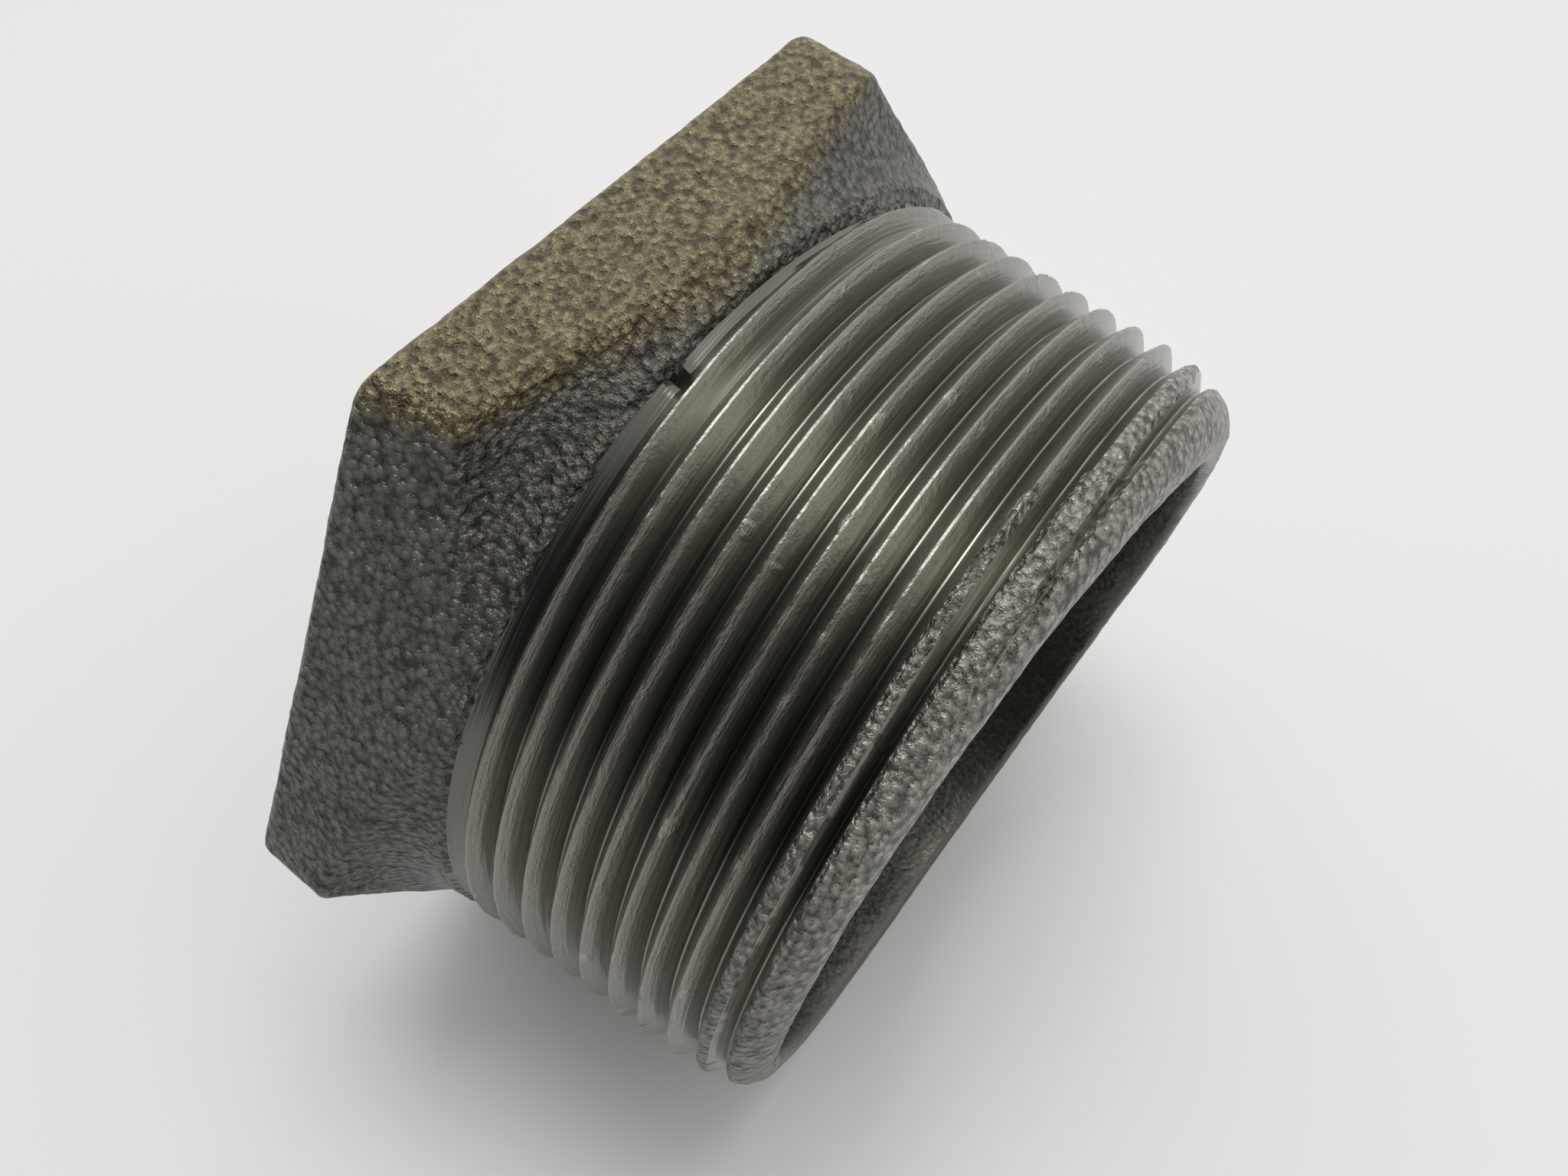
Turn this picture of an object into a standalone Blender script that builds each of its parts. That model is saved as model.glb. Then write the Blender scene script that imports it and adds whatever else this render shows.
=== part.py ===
"""Hexagon reducing bush in malleable iron, lying on one flat of its hexagon head.

The pipe axis runs along +X, from the end face of the head to the lip of the external thread.
The origin is on the ground, below the middle of the bush.  All lengths are in metres.

The bush is one casting, so it is one object.  It is put together from a hexagon prism, a
turned envelope that chamfers it, a threaded barrel that is joined to it and a threaded bore
that is cut from it.
"""

import math

import bmesh
import bpy

MM = 0.001

# Overall size
LENGTH = 34.5 * MM
ACROSS_FLATS = 62.5 * MM
AXIS_HEIGHT = ACROSS_FLATS / 2

# Hexagon head, measured from its end face along the axis
HEAD_CORNER_LENGTH = 5.7 * MM  # where the cone cuts the corners
HEAD_FLAT_LENGTH = 7.9 * MM  # where the cone meets the middle of a flat
HEAD_EDGE_BEVEL = 0.9 * MM
FILLET_END = 10.7 * MM  # the fillet behind the head runs out here
FILLET_STEP = 0.15 * MM  # above the crests of the external thread
FILLET_STEPS = 5

# External thread: 2 in taper pipe thread, 11.5 threads per inch, 60 degrees, 1 in 16
PITCH = 25.4 / 11.5 * MM
TAPER = 1 / 32  # of the radius, per unit of length
THREAD_DEPTH = 1.6 * MM
CREST_WIDTH = 0.30 * MM
ROOT_WIDTH = 0.12 * MM
MALE_CREST_RADIUS = 29.06 * MM  # at the lip
MALE_CREST_PHASE = 1.01 * MM  # a crest passes the top of the bush at this distance
MALE_RUN_OUT = 4.0 * MM  # length over which the thread fades next to the head

# Lip at the end of the external thread
LIP_OUTER_RADIUS = 25.9 * MM
LIP_ROUND = 2.9 * MM
LIP_EDGE = 0.45 * MM  # plain stretch beyond the last row of the thread

# Internal thread: 1 1/2 in taper pipe thread, same pitch and taper
FEMALE_MINOR_RADIUS = 22.26 * MM  # at the head's end face
FEMALE_LENGTH = 18.5 * MM
FEMALE_RUN_OUT = 2.5 * MM
MOUTH_RADIUS = 24.7 * MM
MOUTH_DEPTH = 1.2 * MM

# Cored hollow behind the internal thread
HOLLOW_START = 20.5 * MM
HOLLOW_TAPER_END = 23.5 * MM
HOLLOW_RADIUS = 24.6 * MM
LIP_INNER_BEVEL = 0.4 * MM

SEGMENTS = 48
ROWS_PER_TURN = 4
OVERSHOOT = 2.0 * MM  # how far a cutter runs past the faces that it cuts
MERGE = 1e-6


def radius_at_corner():
    """Distance from the axis to a corner of the hexagon."""
    return ACROSS_FLATS / 2 / math.cos(math.pi / 6)


def male_crest_radius(distance):
    """Radius of the external thread's crests, which grows towards the head."""
    return MALE_CREST_RADIUS + TAPER * (LENGTH - distance)


def thread_height(distance, turn, phase):
    """Height of a 60 degree thread above its root, from 0 to 1."""
    offset = (distance - phase - turn * PITCH) / PITCH
    from_crest = abs(offset - round(offset)) * PITCH
    flank = (PITCH - CREST_WIDTH - ROOT_WIDTH) / 2
    return min(1.0, max(0.0, 1.0 - (from_crest - CREST_WIDTH / 2) / flank))


def fade(value, start, length):
    """0 at start, 1 after the given length, which may be negative."""
    return min(1.0, max(0.0, (value - start) / length))


def barrel_radius(distance, turn):
    """Outer radius of the threaded barrel."""
    depth = THREAD_DEPTH * fade(distance, FILLET_END - PITCH / 2, MALE_RUN_OUT)
    thread = male_crest_radius(distance) - depth * (1 - thread_height(distance, turn, MALE_CREST_PHASE))
    from_lip = LENGTH - distance
    if from_lip >= LIP_ROUND:
        return thread
    rise = math.sqrt(LIP_ROUND**2 - (LIP_ROUND - max(0.0, from_lip)) ** 2)
    return min(thread, LIP_OUTER_RADIUS + rise)


def bore_radius(distance, turn):
    """Radius of the threaded bore and of the hollow behind it."""
    minor = FEMALE_MINOR_RADIUS - TAPER * distance
    depth = THREAD_DEPTH * fade(distance, FEMALE_LENGTH, -FEMALE_RUN_OUT)
    thread = minor + depth * thread_height(distance, turn, 0.0)
    mouth = MOUTH_RADIUS - distance
    entry = (distance - HOLLOW_START) / (HOLLOW_TAPER_END - HOLLOW_START)
    hollow = minor + (HOLLOW_RADIUS - minor) * min(1.0, entry)
    lip = HOLLOW_RADIUS + distance - (LENGTH - LIP_INNER_BEVEL)
    return max(thread, mouth, hollow, lip)


def point_on(distance, radius, angle):
    """A point at the given distance from the head's end face; angle 0 is the top."""
    return (
        distance - LENGTH / 2,
        -radius * math.sin(angle),
        AXIS_HEIGHT + radius * math.cos(angle),
    )


def thread_rows(start, end, phase):
    """Distances of the rows that follow the thread, as they are at the end of a turn."""
    half_crest, half_root = CREST_WIDTH / 2, ROOT_WIDTH / 2
    steps = (-half_crest, half_crest, PITCH / 2 - half_root, PITCH / 2 + half_root)
    first = math.floor((start - phase) / PITCH) * PITCH + phase
    turns = math.ceil((end - first) / PITCH) + 2
    return [first + turn * PITCH + step for turn in range(turns) for step in steps]


def threaded_solid(name, before, rows, after, radius):
    """A closed round solid whose rows between before and after climb one pitch each turn.

    before and after are lists of distances for plain rings, and rows are held between them.
    """
    mesh = bmesh.new()
    low, high = before[-1], after[0]
    columns = []
    for segment in range(SEGMENTS):
        turn = segment / SEGMENTS
        climbing = [min(high, max(low, row + (turn - 1) * PITCH)) for row in rows]
        ring = [
            mesh.verts.new(point_on(distance, radius(distance, turn), turn * math.tau))
            for distance in before + climbing + after
        ]
        columns.append(ring)
    lead, count = len(before), len(before) + len(rows) + len(after)
    climb_end = lead + len(rows)

    def across_seam(index):
        """Row that a row of the last column meets in the first column, one turn further on."""
        if index < lead or index >= climb_end:
            return index
        return min(index + ROWS_PER_TURN, climb_end)

    for segment in range(SEGMENTS):
        here = columns[segment]
        last = segment == SEGMENTS - 1
        there = columns[0] if last else columns[segment + 1]
        for row in range(count - 1):
            below, above = (across_seam(row), across_seam(row + 1)) if last else (row, row + 1)
            corners = (here[row], here[row + 1], there[above], there[below])
            if len(set(corners)) == 4:
                mesh.faces.new(corners)
            elif len(set(corners)) == 3:
                mesh.faces.new(dict.fromkeys(corners))
    mesh.faces.new([column[0] for column in columns])
    mesh.faces.new([column[-1] for column in reversed(columns)])
    bmesh.ops.remove_doubles(mesh, verts=mesh.verts, dist=MERGE)
    bmesh.ops.dissolve_degenerate(mesh, edges=mesh.edges, dist=MERGE)
    bmesh.ops.recalc_face_normals(mesh, faces=mesh.faces)
    return as_object(name, mesh)


def turned_solid(name, profile):
    """A closed solid turned about the pipe axis from (distance, radius) points."""
    mesh = bmesh.new()
    rings = []
    for distance, radius in profile:
        angles = [math.tau * (segment + 0.5) / SEGMENTS for segment in range(SEGMENTS)]
        rings.append([mesh.verts.new(point_on(distance, radius, angle)) for angle in angles])
    for first, second in zip(rings, rings[1:]):
        for segment in range(SEGMENTS):
            following = (segment + 1) % SEGMENTS
            mesh.faces.new((first[segment], second[segment], second[following], first[following]))
    mesh.faces.new(rings[0])
    mesh.faces.new(reversed(rings[-1]))
    bmesh.ops.recalc_face_normals(mesh, faces=mesh.faces)
    return as_object(name, mesh)


def as_object(name, mesh):
    """Puts a bmesh into the scene as an object."""
    data = bpy.data.meshes.new(name)
    mesh.to_mesh(data)
    mesh.free()
    made = bpy.data.objects.new(name, data)
    bpy.context.scene.collection.objects.link(made)
    return made


def hexagon_head():
    """Hexagon prism with its end edges and its corners bevelled; a flat faces the ground."""
    mesh = bmesh.new()
    corner = radius_at_corner()
    angles = [math.tau * (side + 0.5) / 6 for side in range(6)]
    near = [mesh.verts.new(point_on(0.0, corner, angle)) for angle in angles]
    far = [mesh.verts.new(point_on(FILLET_END, corner, angle)) for angle in angles]
    ends = [mesh.faces.new(near), mesh.faces.new(list(reversed(far)))]
    for side in range(6):
        following = (side + 1) % 6
        mesh.faces.new((near[side], far[side], far[following], near[following]))
    bmesh.ops.recalc_face_normals(mesh, faces=mesh.faces)
    rounded = [edge for edge in mesh.edges if ends[1] not in edge.link_faces]
    bmesh.ops.bevel(mesh, geom=rounded, offset=HEAD_EDGE_BEVEL, segments=2, affect="EDGES")
    return as_object("bush_casting", mesh)


def head_envelope():
    """Turned shape that leaves the cone on the corners and the fillet behind the head."""
    corner = radius_at_corner()
    cone_slope = (HEAD_FLAT_LENGTH - HEAD_CORNER_LENGTH) / (corner - ACROSS_FLATS / 2)
    outside = corner + OVERSHOOT
    profile = [(-OVERSHOOT, outside), (HEAD_CORNER_LENGTH - OVERSHOOT * cone_slope, outside)]
    foot = male_crest_radius(FILLET_END) + FILLET_STEP
    top = ACROSS_FLATS / 2
    for step in range(FILLET_STEPS + 1):
        angle = math.pi / 2 * (1 - step / FILLET_STEPS)
        distance = FILLET_END - (FILLET_END - HEAD_FLAT_LENGTH) * math.sin(angle)
        profile.append((distance, top - (top - foot) * math.cos(angle)))
    return turned_solid("head_envelope", profile)


def threaded_barrel():
    """The barrel with the external thread, from inside the head to the lip."""
    start = FILLET_END - PITCH / 2
    rows = thread_rows(start, LENGTH, MALE_CREST_PHASE)
    lip = [LENGTH - LIP_EDGE, LENGTH]
    return threaded_solid("threaded_barrel", [HEAD_CORNER_LENGTH, start], rows, lip, barrel_radius)


def threaded_bore():
    """Cutter for the internal thread, its mouth and the hollow behind it."""
    bevel = [LENGTH - LIP_INNER_BEVEL, LENGTH + OVERSHOOT]
    before = [-OVERSHOOT, MOUTH_DEPTH]
    rows = thread_rows(MOUTH_DEPTH, FEMALE_LENGTH + PITCH, 0.0)
    after = [HOLLOW_START, HOLLOW_TAPER_END] + bevel
    return threaded_solid("threaded_bore", before, rows, after, bore_radius)


def combine(body, tool, operation):
    """Adds a Boolean modifier and hides its tool."""
    modifier = body.modifiers.new(tool.name, "BOOLEAN")
    modifier.operation = operation
    modifier.solver = "EXACT"
    modifier.object = tool
    tool.hide_render = True
    tool.display_type = "WIRE"


def cast_iron():
    """Black malleable iron as it comes from the mould, lightly oiled."""
    material = bpy.data.materials.new("black malleable iron")
    material.use_nodes = True
    shader = material.node_tree.nodes["Principled BSDF"]
    shader.inputs["Base Color"].default_value = (0.085, 0.083, 0.076, 1.0)
    shader.inputs["Metallic"].default_value = 0.85
    shader.inputs["Roughness"].default_value = 0.48
    return material


def main():
    for old in list(bpy.data.objects):
        bpy.data.objects.remove(old, do_unlink=True)
    bush = hexagon_head()
    combine(bush, head_envelope(), "INTERSECT")
    combine(bush, threaded_barrel(), "UNION")
    combine(bush, threaded_bore(), "DIFFERENCE")
    bush.data.materials.append(cast_iron())


main()
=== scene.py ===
"""Looks of a hexagon reducing bush in black malleable iron, lying on one flat of its head.

The bush is one casting, made here in the order of the foundry and the machine shop: a blank
with the shape of the mould, the skin that the sand leaves on it, the taper thread that a die
cuts outside and the one that a tap cuts inside.

Lengths are in metres.  A distance runs along the pipe axis from the end face of the head to
the lip of the external thread.  An angle turns about that axis from the top of the bush.
"""

import math

import bmesh
import bpy
from mathutils import Matrix, Vector


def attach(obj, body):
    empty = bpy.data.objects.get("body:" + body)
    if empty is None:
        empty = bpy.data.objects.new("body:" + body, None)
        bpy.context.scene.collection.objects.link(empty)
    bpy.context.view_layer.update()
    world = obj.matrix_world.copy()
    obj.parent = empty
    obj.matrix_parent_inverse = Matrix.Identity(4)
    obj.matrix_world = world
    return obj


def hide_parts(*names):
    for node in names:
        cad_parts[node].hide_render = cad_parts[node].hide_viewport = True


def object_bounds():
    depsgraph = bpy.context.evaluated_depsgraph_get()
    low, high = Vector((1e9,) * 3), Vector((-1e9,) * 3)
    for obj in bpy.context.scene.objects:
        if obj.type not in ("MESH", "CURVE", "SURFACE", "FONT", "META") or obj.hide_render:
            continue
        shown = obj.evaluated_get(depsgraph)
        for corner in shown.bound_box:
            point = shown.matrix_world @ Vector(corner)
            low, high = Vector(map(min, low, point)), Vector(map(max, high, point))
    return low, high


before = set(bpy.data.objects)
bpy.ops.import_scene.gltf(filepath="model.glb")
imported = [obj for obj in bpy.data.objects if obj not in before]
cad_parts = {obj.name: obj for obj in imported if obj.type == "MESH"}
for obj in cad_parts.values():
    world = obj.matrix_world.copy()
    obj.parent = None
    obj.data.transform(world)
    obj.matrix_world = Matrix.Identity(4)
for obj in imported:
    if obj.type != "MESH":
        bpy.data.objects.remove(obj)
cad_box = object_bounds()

MM = 0.001
DEGREE = math.pi / 180

# Overall size, from the CAD's box: the pipe axis runs along X, and one flat is down
CAD_LOW, CAD_HIGH = cad_box
LENGTH = round(CAD_HIGH.x - CAD_LOW.x, 6)
FLAT_DISTANCE = round((CAD_HIGH.z - CAD_LOW.z) / 2, 6)  # of each flat from the axis
AXIS_HEIGHT = FLAT_DISTANCE

# Hexagon head
CORNER_BLEND = 1.2 * MM  # the corners are soft, as a pattern maker leaves them
END_EDGE_ROUND = 0.9 * MM
FRONT_EDGE_ROUND = 0.6 * MM
EDGE_ON = 0.3  # a flat that is turned away more than this can't be the nearest one
FAR_OFF = 1.0
SKEWED_SIDE = 1  # this flat is out of true, more so towards the thread
SKEW_OFFSET, SKEW_OFFSET_SLOPE = 0.17 * MM, -0.143
SKEW_TURN, SKEW_TURN_SLOPE = 0.55 * DEGREE, -0.456 * DEGREE / MM

# Shoulder from the head down to the barrel: a quarter of an ellipse
SHOULDER_END = 10.9 * MM
SHOULDER_DEPTH = 5.2 * MM
SHOULDER_OUTSIDE = 37.5 * MM
SHOULDER_DROP = 7.5 * MM

# Barrel and lip as they are cast
BARREL_ALLOWANCE = 0.08 * MM  # above the crests of the thread
LIP_START_LENGTH = 5.5 * MM  # over this length the barrel narrows to the lip
LIP_END_LENGTH = 1.9 * MM  # and here it has done so
LIP_SHOULDER_RADIUS = 28.5 * MM
LIP_FACE_RADIUS = 25.6 * MM
LIP_ROUND = 2.9 * MM
LIP_RINGS_LENGTH = 0.9 * MM
LIP_INNER_RADIUS = 25.3 * MM
LIP_INNER_ROUND = 0.7 * MM
LIP_WAVE, LIP_MEAN, LIP_WAVE_ANGLE = 0.40 * MM, -0.10 * MM, 24.7 * DEGREE

# Both threads: 11.5 to the inch, 60 degrees, taper 1 in 16
PITCH = 25.4 / 11.5 * MM
TAPER = 1 / 32
THREAD_DEPTH = 1.6 * MM
CREST_WIDTH = 0.15 * MM
CREST_ROUNDING = 0.30  # how far the flanks bulge towards the crest, where the metal tore
ROOT_WIDTH = 0.10 * MM
CREST_BREAK_LENGTH = 0.9 * MM
CREST_BREAK_DEPTH = 0.10 * MM
CREST_BREAK_NOISE = (0.45, 0.75)  # a crest is whole below the first, broken at the second
CREST_BREAK_REACH = 0.35  # how far down the groove the breaks reach
MALE_CREST_RADIUS = 29.06 * MM  # at the lip
MALE_PHASE = 0.94 * MM
FEMALE_CREST_RADIUS = 22.26 * MM  # at the head's end face
FEMALE_LENGTH = 18.5 * MM
FEMALE_RUN_OUT = 2.5 * MM
FEMALE_ALLOWANCE = 0.05 * MM  # the bore is this much smaller than its thread's crests

# The throat of the die: its first teeth are ground away, so the last grooves have flat floors
THROAT_START = 13.35 * MM
THROAT_END = 10.05 * MM
DIE_STOP = 10.65 * MM  # the die's face stops here
DIE_STOP_FAR = 10.38 * MM  # and here past the angle at which the last chip broke off
DIE_STOP_ANGLE = 10.5 * DEGREE
BURR_HEIGHT = 0.30 * MM  # a burr stands up where that chip broke off, with a crack beside it
CRACK_DEPTH = 0.45 * MM
BURR_LENGTH = 1.5 * MM
BURR_WIDTH = 0.95 * DEGREE
CRACK_BESIDE = 1.5 * DEGREE
NO_STOP, NO_STOP_ANGLE, ANY_LENGTH = -1.0, 9.0, 1.0  # for a tool that stops nowhere on the part

# The external thread leans a little, as it does when the blank sits askew in the chuck
MALE_LEAN = (0.0321, 0.0148)  # across and up, per unit of distance
MALE_SHIFT = (0.185 * MM, 0.085 * MM)
LEAN_PIVOT = 20.05 * MM
LEAN_GROWTH = 3 * MM  # over this length, from the shoulder, the barrel takes up the lean
LIP_STRAIGHTENING = 0.45  # the lip leans this much less

# Bore
MOUTH_RADIUS = 24.7 * MM
MOUTH_DEPTH = 1.2 * MM
HOLLOW_START = 20.5 * MM
HOLLOW_TAPER_END = 23.5 * MM
HOLLOW_RADIUS = 24.6 * MM

# Fineness of the mesh
COLUMNS = 504
END_FACE_ROWS = 5
ROUNDING_ROWS = 4  # on each rounded edge
SIDE_ROWS = 12
SHOULDER_ROWS = 8
LIP_ROWS = 5
HOLLOW_ROWS = 8
HOLLOW_TAPER_ROWS = 3
EDGE_SEARCHES = 5  # tries that find where the flats and the shoulder meet
CORNER_CROWDING = 0.4  # the columns are this much closer together at the corners
STOP_GAP = 0.04 * MM  # between the two rings that make a sharp step where a tool stops
MALE_FLANK_ROWS = 2
FEMALE_FLANK_ROWS = 1
MERGE = 1e-6
SHARP_EDGE = 32 * DEGREE

# How the bush rests on the table: on the head's front edge and on a crest near the lip
REST_FRONT = -9.35 * MM
REST_CREST = 14.35 * MM
REST_CREST_HEIGHT = 2.2 * MM

# Skin that the sand leaves: long waves and short grains
WAVE_HEIGHT, WAVE_LENGTH = 0.30 * MM, 7.0 * MM
GRAIN_HEIGHT, GRAIN_SIZE = 0.20 * MM, 1.0 * MM
SKIN_SEED = 3.0

# Finish of the cast skin
SAND_GRAIN = 0.55 * MM
GRIT = 0.36 * MM
LUMP = 2.2 * MM
CLOUD = 5 * MM
SKIN_RELIEF = 0.36 * MM
CORE_SKIN = (24.9 * MM, 25.7 * MM)  # the core's skin ends and the mould's begins
LIGHTER_LIP = (9 * MM, 13 * MM)  # along X
LIGHTER_OUTSIDE = (24.7 * MM, 25.2 * MM)  # across
# Painted shade: below these heights the lip keeps only a quarter of its lighter tone
PAINTED_LIP_SHADE = (30 * MM, 52 * MM)  # up
RUSTED_TOP = (61.0 * MM, 61.9 * MM)  # up

# Finish of the threads: widths across the helix and lengths along it
TOOL_LINE = (0.16 * MM, 7 * MM)  # about as fine as still shows
TEAR = (0.15 * MM, 0.5 * MM)
TORN_PATCH = (1.6 * MM, 3.0 * MM)
CUT_RELIEF = 0.046 * MM

# Camera
LENS = 28.77  # for a sensor 36 mm wide
SENSOR_WIDTH = 36.0
NEAR_CLIP = 5 * MM
CAMERA_PLACE = (21.257 * MM, -37.607 * MM, 112.868 * MM)
CAMERA_TURN = (29.07 * DEGREE, -3.56 * DEGREE, 38.13 * DEGREE)

TABLE_HALF = 600 * MM
LIT_HEIGHT = 30 * MM  # the lights point at this height above the origin


def colour(code):
    """Linear colour with alpha from an sRGB hex code."""
    channels = [int(code[place : place + 2], 16) / 255 for place in (1, 3, 5)]
    return [c / 12.92 if c <= 0.04045 else ((c + 0.055) / 1.055) ** 2.4 for c in channels] + [1.0]


def add(tree, kind, inputs=None, **settings):
    """Adds a node, with its settings and with a value, a node or a socket for each input."""
    node = tree.nodes.new(kind)
    for name, value in settings.items():
        setattr(node, name, value)
    for key, value in (inputs or {}).items():
        if isinstance(value, bpy.types.Node):
            value = value.outputs[0]
        if isinstance(value, bpy.types.NodeSocket):
            tree.links.new(value, node.inputs[key])
        else:
            node.inputs[key].default_value = value
    return node


# ---------------------------------------------------------------- the casting's blank


def point_on(distance, radius, angle, across=0.0, up=0.0):
    """A point at a distance, radius and angle, moved across and up."""
    return (
        distance - LENGTH / 2,
        across - radius * math.sin(angle),
        AXIS_HEIGHT + up + radius * math.cos(angle),
    )


def smooth(value, start, end):
    """0 before start, 1 after end, with an S curve between them."""
    part = min(1.0, max(0.0, (value - start) / (end - start)))
    return part * part * (3 - 2 * part)


def hexagon_radius(distance, angle):
    """Radius of the head, with rounded corners and one flat that is out of true."""
    radii = []
    for side in range(6):
        facing, offset = side * math.pi / 3, FLAT_DISTANCE
        if side == SKEWED_SIDE:
            facing += SKEW_TURN + SKEW_TURN_SLOPE * distance
            offset += SKEW_OFFSET + SKEW_OFFSET_SLOPE * distance
        lean = math.cos(angle - facing)
        radii.append(offset / lean if lean > EDGE_ON else FAR_OFF)
    nearest, second = sorted(radii)[:2]
    overlap = max(0.0, CORNER_BLEND - (second - nearest)) / CORNER_BLEND
    return nearest - overlap * overlap * CORNER_BLEND / 4


def shoulder_distance(radius):
    """Distance at which the shoulder has this radius."""
    part = (SHOULDER_OUTSIDE - radius) / SHOULDER_DROP
    return SHOULDER_END - SHOULDER_DEPTH * math.sqrt(max(0.0, 1 - part * part))


def male_crest_radius(distance):
    """Radius of the external thread's crests."""
    return MALE_CREST_RADIUS + TAPER * (LENGTH - distance)


def female_crest_radius(distance):
    """Radius of the internal thread's crests."""
    return FEMALE_CREST_RADIUS - TAPER * distance


def lip_distance(angle):
    """The lip is a little wavy, as cast."""
    return LENGTH + LIP_MEAN - LIP_WAVE * math.cos(2 * (LIP_WAVE_ANGLE - angle))


def barrel_radius(distance, angle):
    """Radius of the barrel before its thread is cut."""
    from_lip = lip_distance(angle) - distance
    if from_lip < LIP_ROUND:
        rise = LIP_ROUND**2 - (LIP_ROUND - max(0.0, from_lip)) ** 2
        return LIP_FACE_RADIUS + math.sqrt(max(0.0, rise))
    full = male_crest_radius(distance) + BARREL_ALLOWANCE
    widening = smooth(from_lip, LIP_END_LENGTH, LIP_START_LENGTH)
    return LIP_SHOULDER_RADIUS + (full - LIP_SHOULDER_RADIUS) * widening


def barrel_shift(distance):
    """How far the barrel's own axis is off the head's axis, across and up."""
    leaning = smooth(distance, SHOULDER_END, SHOULDER_END + LEAN_GROWTH)
    leaning *= 1 - LIP_STRAIGHTENING * smooth(distance, LENGTH - LIP_START_LENGTH, LENGTH)
    from_pivot = distance - LEAN_PIVOT
    return [
        leaning * (shift + lean * from_pivot) for shift, lean in zip(MALE_SHIFT, MALE_LEAN)
    ]


def thread_rows(start, end, phase, flank_rows):
    """Distances of the rows that follow a thread, as they are at angle 0."""
    half_crest, half_root = CREST_WIDTH / 2, ROOT_WIDTH / 2
    flank = PITCH / 2 - half_crest - half_root
    places = [half_crest + flank * part / (flank_rows + 1) for part in range(flank_rows + 2)]
    places += [PITCH - place for place in reversed(places)]
    first = math.floor((start - phase) / PITCH - 1) * PITCH + phase
    turns = math.ceil((end - first) / PITCH) + 1
    return [first + turn * PITCH + place for turn in range(turns) for place in places]


MALE_ROWS = thread_rows(SHOULDER_END, LENGTH, MALE_PHASE, MALE_FLANK_ROWS)
FEMALE_ROWS = thread_rows(MOUTH_DEPTH, FEMALE_LENGTH + PITCH, 0.0, FEMALE_FLANK_ROWS)


def steps(first, last, count):
    """Count evenly spaced values that start at first and stop short of last."""
    return [first + (last - first) * step / count for step in range(count)]


def head_rows(angle):
    """The end face, the side of the hexagon, its front edge and the shoulder."""
    face_edge = hexagon_radius(0.0, angle) - END_EDGE_ROUND
    rows = [(0.0, radius) for radius in steps(MOUTH_RADIUS, face_edge, END_FACE_ROWS)]
    for turn in steps(0.0, math.pi / 2, ROUNDING_ROWS):
        distance = END_EDGE_ROUND * (1 - math.cos(turn))
        side = hexagon_radius(distance, angle)
        rows.append((distance, side - END_EDGE_ROUND * (1 - math.sin(turn))))
    edge = SHOULDER_END / 2
    for _ in range(EDGE_SEARCHES):
        edge = shoulder_distance(hexagon_radius(edge, angle))
    edge_radius = hexagon_radius(edge, angle)
    for distance in steps(END_EDGE_ROUND, edge - FRONT_EDGE_ROUND, SIDE_ROWS):
        rows.append((distance, hexagon_radius(distance, angle)))
    edge_turn = math.asin(min(1.0, (SHOULDER_OUTSIDE - edge_radius) / SHOULDER_DROP))
    foot_turn = edge_turn + FRONT_EDGE_ROUND / SHOULDER_DROP
    start = (edge - FRONT_EDGE_ROUND, hexagon_radius(edge - FRONT_EDGE_ROUND, angle))
    foot = shoulder_point(foot_turn)
    for part in steps(0.0, 1.0, ROUNDING_ROWS):
        weights = ((1 - part) ** 2, 2 * part * (1 - part), part**2)
        ends = (start, (edge, edge_radius), foot)
        rows.append(tuple(sum(w * end[axis] for w, end in zip(weights, ends)) for axis in (0, 1)))
    stops = [DIE_STOP_FAR - STOP_GAP, DIE_STOP_FAR, DIE_STOP - STOP_GAP, DIE_STOP]
    stop_turns = [math.acos((SHOULDER_END - stop) / SHOULDER_DEPTH) for stop in stops]
    turns = steps(foot_turn, stop_turns[0], SHOULDER_ROWS) + stop_turns
    return rows + [shoulder_point(turn) for turn in turns]


def shoulder_point(turn):
    """Distance and radius on the shoulder's quarter ellipse."""
    return (
        SHOULDER_END - SHOULDER_DEPTH * math.cos(turn),
        SHOULDER_OUTSIDE - SHOULDER_DROP * math.sin(turn),
    )


def lip_rows(angle):
    """The round of the lip, its narrow face, its inner round and the hollow behind it."""
    lip = lip_distance(angle)
    start = LENGTH - LIP_RINGS_LENGTH
    rows = []
    for distance in steps(start, lip, LIP_ROWS):
        rows.append((distance, barrel_radius(distance, angle)))
    rows.append((lip, LIP_FACE_RADIUS))
    for turn in steps(0.0, math.pi / 2, ROUNDING_ROWS):
        inner = LIP_INNER_RADIUS - LIP_INNER_ROUND * math.sin(turn)
        rows.append((lip - LIP_INNER_ROUND * (1 - math.cos(turn)), inner))
    hollow = lip - LIP_INNER_ROUND
    for distance in steps(hollow, HOLLOW_TAPER_END, HOLLOW_ROWS):
        rows.append((distance, HOLLOW_RADIUS))
    inside = female_crest_radius(HOLLOW_START)
    for part in steps(0.0, 1.0, HOLLOW_TAPER_ROWS):
        distance = HOLLOW_TAPER_END + (HOLLOW_START - HOLLOW_TAPER_END) * part
        rows.append((distance, HOLLOW_RADIUS + (inside - HOLLOW_RADIUS) * part))
    return rows


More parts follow.
